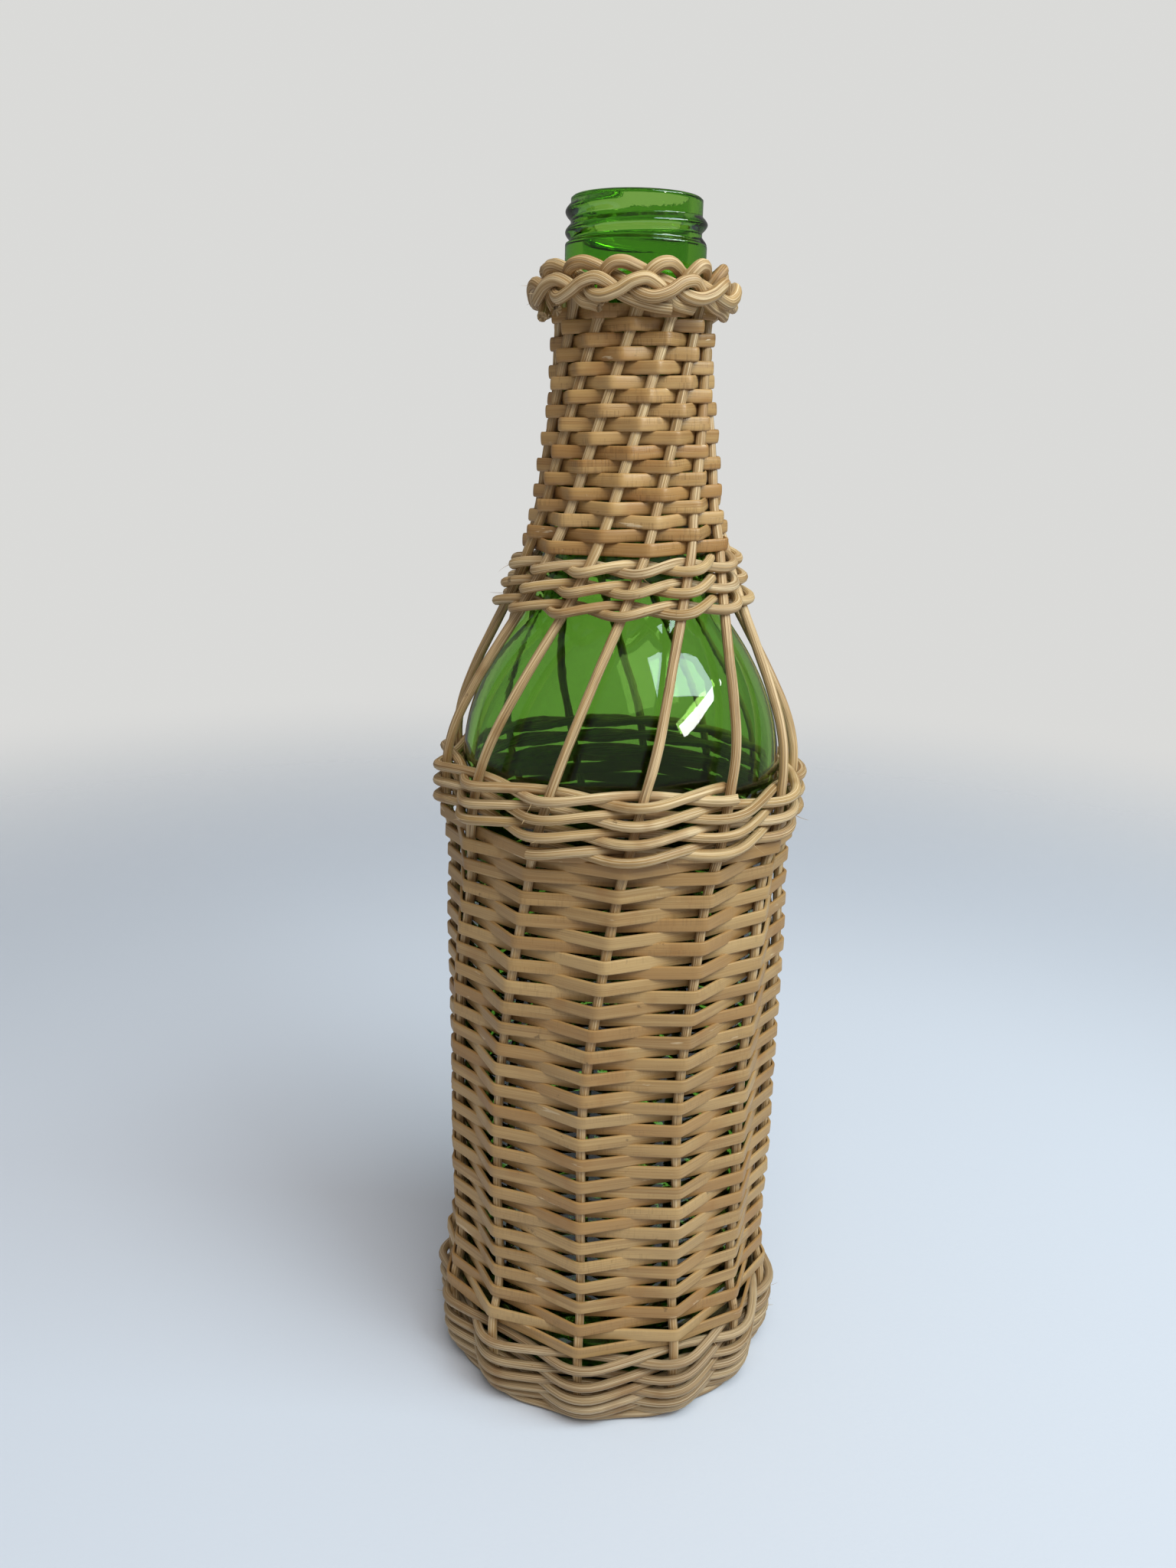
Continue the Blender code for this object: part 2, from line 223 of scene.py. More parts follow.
class Wire:
    """One output of a material's nodes. Sums, differences and products with it add Math nodes."""

    def __init__(self, tree, socket=None):
        self.tree = tree
        self.socket = socket

    def node(self, kind, settings, inputs, output=0):
        """A new node: its settings first, then a number, colour or wire for each socket named in inputs."""
        made = self.tree.nodes.new(kind)
        for name, value in settings.items():
            setattr(made, name, value)
        for name, value in inputs.items():
            if isinstance(value, Wire):
                self.tree.links.new(value.socket, made.inputs[name])
            else:
                made.inputs[name].default_value = value
        return Wire(self.tree, made.outputs[output])

    def math(self, operation, *values):
        return self.node("ShaderNodeMath", {"operation": operation}, dict(enumerate(values)))

    def __add__(self, other):
        return self.math("ADD", self, other)

    def __sub__(self, other):
        return self.math("SUBTRACT", self, other)

    def __rsub__(self, other):
        return self.math("SUBTRACT", other, self)

    def __mul__(self, other):
        return self.math("MULTIPLY", self, other)

    __radd__ = __add__
    __rmul__ = __mul__

    def noise(self, place, scale, detail=2.0, rough=0.5):
        """Soft random values between 0 and 1, most of them near a half."""
        sockets = {"Vector": place, "Scale": scale, "Detail": detail, "Roughness": rough}
        return self.node("ShaderNodeTexNoise", {}, sockets)

    def between(self, low, high):
        """0 below low, 1 above high and an easy curve from one to the other."""
        sockets = {"Value": self, "From Min": low, "From Max": high}
        return self.node("ShaderNodeMapRange", {"interpolation_type": "SMOOTHSTEP"}, sockets)

    def spread(self, first, second, third=0.0):
        """A vector of three numbers or wires."""
        return self.node("ShaderNodeCombineXYZ", {}, {0: first, 1: second, 2: third})

    def blend(self, first, second):
        """The first colour where this wire is 0, and the second where it is 1."""
        return self.node("ShaderNodeMix", {"data_type": "RGBA"}, {0: self, 6: first, 7: second}, 2)


def principled(name, constants):
    """A new material: its start for wires, and its shader with the inputs that are the same all over."""
    material = bpy.data.materials.new(name)
    material.use_nodes = True
    shader = material.node_tree.nodes["Principled BSDF"]
    for socket, value in constants.items():
        shader.inputs[socket].default_value = value
    return material, Wire(material.node_tree), shader


def feed(start, shader, inputs, height=None, depth=0.0):
    """Joins wires to a shader's inputs, and a height as a bump, in which 1 stands for depth metres."""
    for socket, wire in inputs.items():
        start.tree.links.new(wire.socket, shader.inputs[socket])
    if height is not None:
        bump = start.node("ShaderNodeBump", {}, {"Height": height, "Distance": depth, "Strength": 1.0})
        start.tree.links.new(bump.socket, shader.inputs["Normal"])


def green_glass():
    """Green bottle glass: a tint at each face, more tint through the thickness, and a faint ripple.

    The tint drifts in upright streaks, darkens with painted shade behind the body weave and changes at the
    neck.
    The ripple is long and soft all over, with a finer one in some of the streaks and on the lip. A thin haze
    lies here and there. Every noise is read at so many turns a metre.
    """
    clear = {"Transmission Weight": 1.0, "IOR": 1.52, "Roughness": 0.0}
    material, start, shader = principled("green_glass", clear)
    place = start.node("ShaderNodeTexCoord", {}, {}, "Object")
    height = start.node("ShaderNodeSeparateXYZ", {}, {0: place}, 2)
    at_neck = height.between(neck_from, neck_full)
    stretched = start.node("ShaderNodeVectorMath", {"operation": "MULTIPLY"}, {0: place, 1: (1, 1, 0.35)})
    streak = start.noise(stretched, 42.0, 2.0)
    tint = streak.between(0.2, 0.8).blend(glass_deep, glass_pale)
    # Painted shade: the tint darkens in a belt behind the top of the body weave, where little light gets in
    belt_shade = height.between(belt_from, belt_full) * (1 - height.between(belt_fades, belt_ends))
    tint = belt_shade.blend(tint, belt_shade_colour)
    tint = at_neck.blend(tint, neck_colour)
    haze = start.noise(place, 260.0, 3.0).between(0.60, 0.78) * 0.05
    ripple = start.noise(place, 45.0, 1.0) * 0.35 + start.noise(place, 190.0, 2.0) * 0.04
    ripple = ripple + start.noise(place, 800.0, 2.0) * streak.between(0.45, 0.60) * 0.025
    ripple = ripple + start.noise(place, 900.0, 2.0) * height.between(lip_from, lip_full) * 0.10
    feed(start, shader, {"Base Color": tint, "Roughness": haze}, ripple, ripple_depth)
    depth = start.node("ShaderNodeVolumeAbsorption", {}, {"Color": depth_colour, "Density": depth_density})
    output = material.node_tree.nodes["Material Output"]
    material.node_tree.links.new(depth.socket, output.inputs["Volume"])
    return material


def thread_rise(azimuth, height):
    """How far the screw thread stands out: a rounded ridge along a rising helix, faded out at both ends.

    The ridge is an easy step, 3 n n - 2 n n n, of how near a place is to the helix, raised to thread_crest.
    """
    rise = np.zeros(np.broadcast_shapes(azimuth.shape, height.shape))
    whole = thread_turns * 2 * math.pi
    for turn in range(math.ceil(thread_turns) + 1):
        wound = np.mod(azimuth - thread_from, 2 * math.pi) + turn * 2 * math.pi
        middle = thread_foot + thread_pitch * wound / (2 * math.pi)
        near = np.clip(1 - np.abs(height - middle) / thread_half_width, 0, 1)
        ends = np.clip(wound / thread_fade, 0, 1) * np.clip((whole - wound) / thread_fade, 0, 1)
        ends = ends * ends * (3 - 2 * ends)
        rise = np.maximum(rise, (near * near * (3 - 2 * near)) ** thread_crest * ends)
    return rise * thread_depth


def waves(azimuth, height, phase):
    """The slight unevenness of a moulded wall: the mean of three long waves round and up, from -1 to 1."""
    total = np.sin(3 * azimuth + 55 * height + phase) + np.sin(5 * azimuth - 90 * height + 2 * phase)
    return (total + np.sin(2 * azimuth + 170 * height + 3 * phase)) / 3


heel = flowing(np.array(heel_points) * mm, heel_rings)
heel[:, 1] += underside - heel_foot
shoulder = eased(flowing(np.array(shoulder_points) * mm, shoulder_rings), shoulder_ease)
collar = rounded((
    (neck_radius, collar_bottom - collar_below), (neck_radius, collar_bottom - collar_flare),
    (collar_radius, collar_bottom + collar_step), (collar_radius, collar_top),
    (finish_radius, collar_top + collar_step), (finish_radius, collar_top + collar_above),
), collar_round, collar_round_rings)
threaded = np.linspace(threaded_from, lip - lip_round, threaded_rings)
threaded = np.stack((np.full(threaded_rings, finish_radius), threaded), axis=1)

# The lip is a quarter round outside and a quarter round inside
turn = np.linspace(0, math.pi / 2, lip_rings)[1:]
lip_out = finish_radius - lip_round * (1 - np.cos(turn))
lip_outer = np.stack((lip_out, lip - lip_round * (1 - np.sin(turn))), axis=1)
bore = neck_radius - glass_wall
lip_in = bore + lip_round * (1 - np.sin(turn))
lip_inner = np.stack((lip_in, lip - lip_round * (1 - np.cos(turn))), axis=1)
bore_heights = np.linspace(bore_top, shoulder[-1, 1] + mm, bore_rings)
bore_wall = np.stack((np.full(bore_rings, bore), bore_heights), axis=1)

# The inner wall lies one wall's thickness in from the outer one, square to it
slope = np.gradient(shoulder, axis=0)
slope /= np.linalg.norm(slope, axis=1, keepdims=True)
inside_shoulder = (shoulder + slope[:, ::-1] * (-glass_wall, glass_wall))[::-3]
inside_heel = heel[::-1] * ((body_radius - glass_wall) / body_radius, 1) + (0, base_thickness)
outer = np.concatenate((heel, shoulder[::2], collar, threaded, lip_outer))
profile = np.concatenate((outer, lip_inner, bore_wall, inside_shoulder, inside_heel))
turns = np.arange(glass_sides) * 2 * math.pi / glass_sides
radius, height = profile[:, :1], profile[:, 1:]
outside = (np.arange(len(profile)) < len(outer))[:, None]
open_wall = np.clip((radius - plain_radius) / (wavy_radius - plain_radius), 0, 1)
wavy_outside = waves(turns, height, outside_phase) * glass_waviness
wavy_inside = waves(turns, height, inside_phase) * inside_waviness
wavy = np.where(outside, wavy_outside, wavy_inside) * open_wall
on_finish = outside & (height > collar_top - thread_room) & (height < lip - lip_round / 2)
threads = (finish_radius + thread_rise(turns[None], height)) * on_finish
walls = around(np.maximum(radius + wavy, threads), turns, height)
bottle = surface("bottle_glass", walls, green_glass(), sharp=80)
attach(bottle, "root")
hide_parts("glass_bottle")


# The mat under the bottle
# The photograph doesn't show it. It is woven as the body is, of flat spokes that the stakes start from and of
# one flat cane wound out from the middle, over one spoke and under the next, to the round cane at its edge.

mat_low, mat_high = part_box("base_mat")
mat_middle = (mat_low.z + mat_high.z) / 2
mat_radius = mat_high.x
stake_count = 13
spacing = 2 * math.pi / stake_count
first_azimuth = math.radians(-6)
spoke_thickness = 0.5 * mm
spoke_start = 3 * mm
spoke_end = mat_radius - 2.6 * mm
spoke_rings = 24
mat_cane_width = 2.9 * mm
mat_cane_thickness = 0.7 * mm
mat_cane_gap = 0.03 * mm
mat_turns = 13
mat_samples = 8
mat_start = 1.6 * mm
mat_end = mat_radius - 3.3 * mm
mat_pitch = (mat_end - mat_start) / mat_turns
facing_up = (0, 0, 1)

# Deep, middle and pale
mat_colours = ((0.30, 0.165, 0.06, 1), (0.43, 0.26, 0.10, 1), (0.58, 0.40, 0.19, 1))

# How a flat cane drifts: every so far along it, by such a share of its size, or for the tilt such an angle
width_drift = (25 * mm, 0.05)
thickness_drift = (18 * mm, 0.08)
tilt_drift = (11 * mm, 0.09)


def carried(path, across, out, away=None):
    """Places of a section carried along a path.

    out is measured away from the bottle's axis, or towards away where that is given, and square to the path.
    across is square to both.
    """
    along = np.gradient(path, axis=0)
    along /= np.linalg.norm(along, axis=1, keepdims=True)
    outward = path * (1, 1, 0) if away is None else np.broadcast_to(np.asarray(away, float), path.shape)
    outward = outward - along * np.sum(outward * along, axis=1, keepdims=True)
    outward = outward / np.linalg.norm(outward, axis=1, keepdims=True)
    side = np.cross(along, outward)
    return path[:, None] + across[..., None] * side[:, None] + out[..., None] * outward[:, None]


def lengths(path):
    """How far along a path each of its places is, in metres."""
    return np.concatenate(([0], np.cumsum(np.linalg.norm(np.diff(path, axis=0), axis=1))))


# A quarter of a flat cane's section, from the middle of its face to its edge, as shares of half its width and
# of half its thickness: a flat face with a small round at the corner
flat_quarter = ((0.0, 1.0), (0.74, 0.985), (0.92, 0.92), (0.985, 0.68), (1.0, 0.28))


def flat_cane(path, width, thickness, away=None, seed=0, quarter=flat_quarter):
    """A flat cane along a path: its grid and its UV, metres along and metres round.

    The quarter section is mirrored over both its axes. The cane's width and thickness drift, and it tilts a
    little to and fro about its own length: across and out are turned by that small angle.
    """
    quarter = np.array(quarter)
    half = np.concatenate((quarter, quarter[::-1] * (1, -1)))
    section = np.concatenate((half, half[-2:0:-1] * (-1, 1), half[:1]))
    across, out = section[:, 0], section[:, 1]
    at = lengths(path)
    wide = width / 2 * (1 + wander(at, *width_drift, seed))[:, None] * across
    thick = thickness / 2 * (1 + wander(at, *thickness_drift, seed + 1))[:, None] * out
    tilt = wander(at, *tilt_drift, seed + 2)[:, None]
    grid = carried(path, (wide + thick * tilt)[:, :-1], (thick - wide * tilt)[:, :-1], away)
    steps_round = np.hypot(np.diff(across) * width, np.diff(out) * thickness) / 2
    perimeter = np.concatenate(([0], np.cumsum(steps_round)))
    uv = np.stack(np.broadcast_arrays(at[:, None], perimeter[None]), axis=-1)
    return grid, uv


def wander(at, every, size, seed):
    """A slow random drift along a cane: random values of up to size, every so far, joined by easy curves."""
    place = (at - at[0]) / every
    low = place.astype(int)
    values = np.random.default_rng(seed).uniform(-size, size, low[-1] + 2)
    part = place - low
    part = part * part * (3 - 2 * part)
    return values[low] * (1 - part) + values[low + 1] * part


# The skin that flakes off a cane, and how deep its grooves and flakes are
flake_colour = (0.72, 0.55, 0.34, 1)
cane_relief = 0.08 * mm


def cane_finish(name, colours, grain, grooves, rungs=0.0, flakes=0.0, rough=0.5, mixed=0.15):
    """Natural cane, read from its UV map in metres along and round.

    colours are deep, middle and pale. The ground drifts from deep to middle along the length and from side to
    side. Fine pale grain and dark pores run lengthwise, and dark grooves are drawn where a stretched noise is
    near a half. Scars, short marks across called rungs, and pale flakes of skin lie here and there. grain,
    grooves, rungs and flakes are the strengths of these. mixed is how far whole stretches of the cane differ
    in tone, some rusty and some pale. A noise's factors are its turns in a metre along and in a metre round.
    """
    deep, mid, pale = colours
    material, start, shader = principled(name, {"Specular IOR Level": 0.45})
    where = start.node("ShaderNodeUVMap", {"uv_map": "cane"}, {})
    along = start.node("ShaderNodeSeparateXYZ", {}, {0: where}, 0)
    beside = start.node("ShaderNodeSeparateXYZ", {}, {0: where}, 1)
    place = start.node("ShaderNodeTexCoord", {}, {}, "Object")
    shade = tuple(0.40 * part for part in deep[:3]) + (1,)
    rust = (deep[0] * 1.02, deep[1] * 0.86, deep[2] * 0.66, 1)
    drift = start.noise(start.spread(along * 11, beside * 90), 1.0, 3.0)
    patch = start.noise(place, 85.0, 3.0)
    streak = start.noise(start.spread(along * 20, beside * 3600), 1.0, 3.0, 0.6)
    contour = start.noise(start.spread(along * 9, beside * 1500, 3.3), 1.0, 1.0) - 0.5
    groove = (1 - contour.math("ABSOLUTE", contour).between(0.0, 0.03)) * grooves
    pore = start.noise(start.spread(along * 110, beside * 5200, 6.1), 1.0, 1.0).between(0.56, 0.70)
    colour = drift.between(0.34, 0.60).blend(deep, mid)
    colour = (streak.between(0.40, 0.68) * grain).blend(colour, pale)
    colour = (patch.between(0.54, 0.72) * 0.55).blend(colour, rust)
    tone = start.noise(start.spread(along * 4, 0.0, 9.2), 1.0, 2.0)
    colour = (tone.between(0.50, 0.64) * mixed).blend(colour, rust)
    colour = ((1 - tone.between(0.36, 0.50)) * mixed * 0.8).blend(colour, pale)
    colour = (groove * 0.75).blend(colour, shade)
    colour = (pore * (0.15 + 0.35 * grooves)).blend(colour, shade)
    region = start.noise(start.spread(along * 24, beside * 60, 5.1), 1.0, 1.0).between(0.46, 0.60)
    rung = start.noise(start.spread(along * 2200, beside * 140, 7.7), 1.0, 1.0).between(0.50, 0.68)
    rung = rung * region * rungs
    colour = (rung * 0.35).blend(colour, shade)
    scar = start.noise(place, 260.0, 4.0, 0.6).between(0.68, 0.74)
    colour = (scar * 0.65).blend(colour, shade)
    flake = start.noise(start.spread(along * 65, beside * 330, 1.9), 1.0, 4.0, 0.6).between(0.665, 0.70)
    flake = flake * flakes
    colour = (flake * 0.8).blend(colour, flake_colour)
    roughness = rough + streak * 0.14 - flake * 0.2
    height = 0.5 - groove * 0.5 - pore * 0.2 + streak * 0.35 - rung * 0.35 + flake * 0.5 + patch * 0.15
    feed(start, shader, {"Base Color": colour, "Roughness": roughness}, height, cane_relief)
    return material


mat_cane = cane_finish("mat_cane", mat_colours, grain=0.5, grooves=0.3)
spoke_radii = np.linspace(spoke_start, spoke_end, spoke_rings)
spoke_grids = []
spoke_uvs = []
for number in range(stake_count):
    path = around(spoke_radii, first_azimuth + number * spacing, mat_middle)
    grid, uv = flat_cane(path, mat_cane_width, spoke_thickness, facing_up)
    spoke_grids.append(grid)
    spoke_uvs.append(uv)

# The weaver's height is a cosine of the spokes passed, so it lies on one spoke and under the next
mat_crossings = mat_turns * stake_count
passed = np.linspace(0, mat_crossings, mat_crossings * mat_samples + 1)
mat_lift = (spoke_thickness + mat_cane_thickness) / 2 + mat_cane_gap
mat_radii = mat_start + passed * mat_pitch / stake_count
mat_heights = mat_middle + mat_lift * np.cos(math.pi * passed)
mat_path = around(mat_radii, first_azimuth + passed * spacing, mat_heights)
mat_grid, mat_uv = flat_cane(mat_path, mat_cane_width, mat_cane_thickness, facing_up)
mat = surface("mat_weaver", mat_grid, mat_cane, mat_uv)
mat_spokes = surface("mat_spokes", np.stack(spoke_grids), mat_cane, np.stack(spoke_uvs))
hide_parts("base_mat")
for piece in (mat, mat_spokes):
    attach(piece, "root")


# The stakes and the plaited border
# Thirteen round canes stand up from the mat and lean round the shoulder and the neck to the right. At the top
# they are turned down: over and behind their neighbours, out round them, under, and cut off with a knife.

stake_diameter = 2.36 * mm
stake_sides = 12
stake_samples = 520
fray = 0.55 * mm
stake_colours = ((0.28, 0.148, 0.048, 1), (0.42, 0.252, 0.094, 1), (0.88, 0.68, 0.41, 1))

# In the border the canes are pressed a little flat, from the neck's last row on and over the last stretch
border_width_share = 1.24
border_thickness_share = 1.06
pressed_over = 3 * mm
border_length = 60 * mm

# Hairs may split off the border's canes, but not so close to a cut end
hairless_end = 6 * mm

# How a round cane drifts along its length: its girth slowly and its knots quickly, and a stake from its line
girth_drift = (15 * mm, 0.045)
knot_drift = (4 * mm, 0.02)
stake_drift = (22 * mm, 0.003)

# Each cane of a kind is read this many metres further along in the finish, so that no two look alike
stake_shift = 0.7

# How far each stake stands beside its even place, in degrees, and the share of it at heights in millimetres
stake_sway = (-2, 3, 2.5, 2, 1.5, 1, 0.5, -0.5, -2, -3.5, -5, -7, -7)
sway_points = ((0, 0.95), (60, 1.0), (110, 0.66), (150, 0.40), (168, 0.0))

# Height, radius of the stakes' ring in millimetres, and azimuth of the first stake in degrees
stake_points = (
    (1.5, 38.8, -6), (2.3, 40.6, -6), (4.6, 42.2, -6), (8.5, 43.1, -6), (14, 43.5, -6), (21.8, 43.9, -6),
    (29.5, 42.1, -6), (60, 41.9, -6.6), (90, 41.9, -7), (120, 41.9, -3), (147.5, 42.0, 2.5),
    (153.5, 43.2, 4), (160, 43.5, 5.5), (167.5, 43.5, 7.4), (176, 41.9, 10.7), (186, 37.8, 14.8),
    (196, 32.8, 20), (204, 28.9, 25.8), (211.7, 25.8, 32.2), (219, 23.6, 38.8), (228, 21.0, 45.8),
    (236.6, 19.75, 52.6), (245.2, 18.6, 60.2), (253.7, 17.7, 68.2), (262.3, 17.1, 77), (271, 16.8, 86.5),
)
stake_table_rows = 900
stake_table_step = 18

# Stake spacings along, and millimetres up and out from the neck's last row
border_points = (
    (0.05, 1.9, 0.5), (0.12, 4.6, 1.7), (0.24, 7.1, 3.4), (0.43, 8.4, 3.8), (0.64, 8.6, 3.3),
    (0.88, 8.0, 2.2), (1.15, 6.9, 0.9), (1.45, 5.7, 1.3), (1.75, 4.2, 3.1), (1.98, 2.3, 4.9),
    (2.23, 1.5, 5.9), (2.55, 2.6, 6.3), (2.86, 4.6, 6.3), (3.11, 5.2, 5.7), (3.35, 4.2, 4.7),
    (3.55, 2.5, 3.9), (3.81, 0.8, 3.8), (4.13, 0.0, 3.8), (4.36, -0.5, 4.0),
)
border_uneven = 0.12

# From tail_from on, each cane's tail is drawn out or in to its own end, and its last two points drop
tail_from = 3.55
tail_end = border_points[-1][0]
tail_ends = (4.35, 4.45, 4.25, 3.9, 3.85, 4.12, 4.67, 4.24, 4.7, 4.4, 4.2, 4.5, 4.3)
tail_drops = (0, 0, 0, 1.0, 0.6, 0, -0.4, -0.3, 0.2, 0, 0, 0, 0)
tail_drop_shares = np.array((0.5, 1.0))
tail_chance = (-0.3, 0.4)
stake_table = flowing(np.array(stake_points), stake_table_rows)


def stake_at(height):
    """Radius of the stakes' ring and azimuth of the first stake at a height, in metres and radians."""
    radius = np.interp(height / mm, stake_table[:, 0], stake_table[:, 1]) * mm
    return radius, np.radians(np.interp(height / mm, stake_table[:, 0], stake_table[:, 2]))


def stake_place(number, height, out=0.0):
    """Places on the stakes of these numbers, or so far out from them, at these heights."""
    radius, azimuth = stake_at(height)
    share = np.interp(height / mm, *np.transpose(sway_points))
    sway = np.array(stake_sway)[np.mod(number, stake_count)] * share
    return around(radius + out, azimuth + number * spacing + np.radians(sway), height)


def round_cane(path, diameter, sides, seed, flatter=0.0):
    """A round cane along a path, with knife-cut, slightly frayed ends: its grid and its UV in metres.

    The section is a circle of an uneven radius. flatter is 0 where it stays a circle, and 1 where it is
    pressed to the shares of its width and thickness that the border's canes have. Each end has two more
    rings: a rim that stands out by random amounts, and one of half the size that stands out or sinks by them.
    """
    at = lengths(path)
    angle = np.arange(sides + 1) * 2 * math.pi / sides
    size = diameter / 2 * (1 + wander(at, *girth_drift, seed) + wander(at, *knot_drift, seed + 9))
    width = (size * (1 + (border_width_share - 1) * flatter))[:, None]
    thick = (size * (1 + (border_thickness_share - 1) * flatter))[:, None]
    grid = carried(path, np.sin(angle[:-1]) * width, np.cos(angle[:-1]) * thick)
    perimeter = np.arange(sides + 1) * math.pi * diameter / sides
    uv = np.stack(np.broadcast_arrays(at[:, None], perimeter), axis=-1)
    chance = np.random.default_rng(seed + 77)
    first, last = np.diff(path[:2], axis=0)[0], np.diff(path[-2:], axis=0)[0]
    ends = []
    for ring, centre, forward in ((grid[0], path[0], -first), (grid[-1], path[-1], last)):
        forward = forward / np.linalg.norm(forward)
        rim = ring + forward * chance.uniform(0, fray, (sides, 1))
        core = centre + (ring - centre) * 0.5 + forward * chance.uniform(-fray, fray, (sides, 1))
        ends.append((core, rim))
    grid = np.concatenate(([ends[0][0], ends[0][1]], grid, [ends[1][1], ends[1][0]]))
    uv = np.concatenate((uv[:1], uv[:1], uv, uv[-1:], uv[-1:]))
    return grid, uv


border_paths = []
stake_cane = cane_finish("round_cane", stake_colours, grain=0.75, grooves=0.75)
rise = stake_table[::stake_table_step, 0] * mm
top_height = stake_table[-1, 0] * mm
for number in range(stake_count):
    chance = np.random.default_rng(number + 5)
    ends = np.array(border_points)
    after = ends[:, 0] > tail_from
    drawn_out = (tail_ends[number] - tail_from) / (tail_end - tail_from)
    ends[after, 0] = tail_from + (ends[after, 0] - tail_from) * drawn_out
    ends[-2:, 1] += chance.uniform(*tail_chance) - tail_drop_shares * tail_drops[number]
    ends[:, 1:] += chance.uniform(-border_uneven, border_uneven, ends[:, 1:].shape)
    top_radius, top_azimuth = stake_at(top_height)
    turned_down = around(top_radius + ends[:, 2] * mm, top_azimuth + (ends[:, 0] + number) * spacing,
                         top_height + ends[:, 1] * mm)
    path = flowing(np.concatenate((stake_place(number, rise), turned_down)), stake_samples)
    at = lengths(path)
    path[:, :2] *= 1 + wander(at, *stake_drift, number)[:, None]
    border_paths.append(path[(path[:, 2] > top_height + mm) & (at < at[-1] - hairless_end)])
    in_border = np.clip((path[:, 2] - top_height) / pressed_over, 0, 1) + (at > at[-1] - border_length)
    grid, uv = round_cane(path, stake_diameter, stake_sides, number, np.clip(in_border, 0, 1))
    name = f"stake_{number + 1:02d}"
    piece = surface(f"cane_{name}", grid, stake_cane, uv + (number * stake_shift, 0))
    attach(piece, "root")
    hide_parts(name)


# The base wale
# Two round canes wound round the foot together. Each passes in front of one stake and behind the next, and
# they cross between the stakes, so that the foot has a scalloped edge. A third one edges the mat inside them.

strand_diameter = 2.38 * mm
strand_sides = 10
cane_gap = 0.05 * mm
strand_uneven = 0.16 * mm
strand_shift = 3.0

# Shares of a strand's diameter: how low it lies in front of a stake, and how far out and up it passes its
# partner. Then the bend at a stake, in stakes.
low_share = 0.34
pass_out_share = 0.45
pass_up_share = 0.22
strand_ease = 0.30

# Where a weaver's samples lie between one stake and the next
strand_samples = (0, 0.08, 0.17, 0.28, 0.42, 0.58, 0.72, 0.83, 0.92)


def sampled(crossings, parts):
    """Stakes passed at each sample: the same parts of every space between two stakes."""
    return np.append((np.arange(crossings)[:, None] + parts).ravel(), crossings)


def bent(steps, corners, ease):
    """A weaver's line through its corners, one at each stake, the first of them one stake before the start.

    The runs between are straight. Near a stake, within ease, the distance x from it in stakes becomes
    (x * x + ease * ease) / (2 * ease), a short easy bend. Each corner first moves out by what that cuts off.
    """
    corners = corners.copy()
    corners[1:-1] -= ease / 4 * (corners[2:] - 2 * corners[1:-1] + corners[:-2])
    nearest = np.rint(steps).astype(int)
    here = corners[nearest + 1]
    after = corners[nearest + 2] - here
    before = here - corners[nearest]
    x = (steps - nearest)[:, None]
    away = np.where(np.abs(x) < ease, (x * x + ease * ease) / (2 * ease), np.abs(x))
    return here + (after - before) / 2 * away + (after + before) / 2 * x


def twined(first_stake, rows, strand, seed):
    """The centre line of one of two strands twined round the stakes.

    At each stake it lies in front and low, or behind and high, in turn. Between them it swells by a sine: out
    and up where it goes in, so that it passes outside its partner, and in and down where it comes out again.
    rows gives the pair's height at each stake.
    """
    crossings = len(rows) - 3
    passed = np.arange(-1, crossings + 2)
    side = np.where((passed + strand) % 2 == 0, 1, -1)
    chance = np.random.default_rng(seed)
    uneven = chance.uniform(-strand_uneven, strand_uneven, (2, len(passed)))
    reach = (stake_diameter + strand_diameter) / 2 + cane_gap
    heights = rows - side * low_share * strand_diameter + uneven[0]
    corners = stake_place(first_stake + passed, heights, side * reach + np.abs(uneven[1]) * side)
    steps = sampled(crossings, strand_samples)
    path = bent(steps, corners, strand_ease)
    swell = np.sin(math.pi * (steps + strand))
    outward = pass_out_share * strand_diameter * swell / np.linalg.norm(path[:, :2], axis=1)
    path[:, :2] *= (1 + outward)[:, None]
    path[:, 2] += pass_up_share * strand_diameter * swell
    return path


def twined_pair(name, first_stake, rows, finish, seed, shift):
    """Both strands of a pair, as pieces by their side a or b, and their centre lines.

    Each strand is read strand_shift further along in the finish, and the pair shift further round.
    """
    pieces = {}
    paths = []
    for strand, side in enumerate(("a", "b")):
        path = twined(first_stake, rows, strand, seed + strand)
        grid, uv = round_cane(path, strand_diameter, strand_sides, seed + 10 + strand)
        pieces[side] = surface(f"{name}_{side}", grid, finish, uv + (strand * strand_shift, shift))
        paths.append(path)
    return pieces, paths


# The stake where the pair starts, counted on round the bottle, and how many stakes it passes
base_first = 6
base_crossings = 65

# Stakes passed and the pair's height in millimetres, tighter at the foot
base_row_points = ((0, 2.3), (7, 3.5), (20, 6.3), (33, 9.7), (46, 13.6), (59, 18.8), (66, 20.8))
base_rows = np.interp(np.arange(-1, base_crossings + 2), *np.transpose(base_row_points)) * mm

# The wales' canes are paler than the stakes, and the foot's are darker and duller than both
pale_colours = ((0.28, 0.152, 0.050, 1), (0.44, 0.275, 0.104, 1), (0.90, 0.71, 0.44, 1))
foot_colours = ((0.24, 0.138, 0.054, 1), (0.35, 0.226, 0.100, 1), (0.68, 0.54, 0.35, 1))
pale_cane = cane_finish("pale_round_cane", pale_colours, grain=0.75, grooves=0.5)
foot_cane = cane_finish("foot_cane", foot_colours, grain=0.7, grooves=0.6)
foot_strands, foot_paths = twined_pair("foot_strand", base_first, base_rows, foot_cane, seed=40, shift=0)
for side, piece in foot_strands.items():
    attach(piece, "root")
    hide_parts(f"base_wale_{side}")

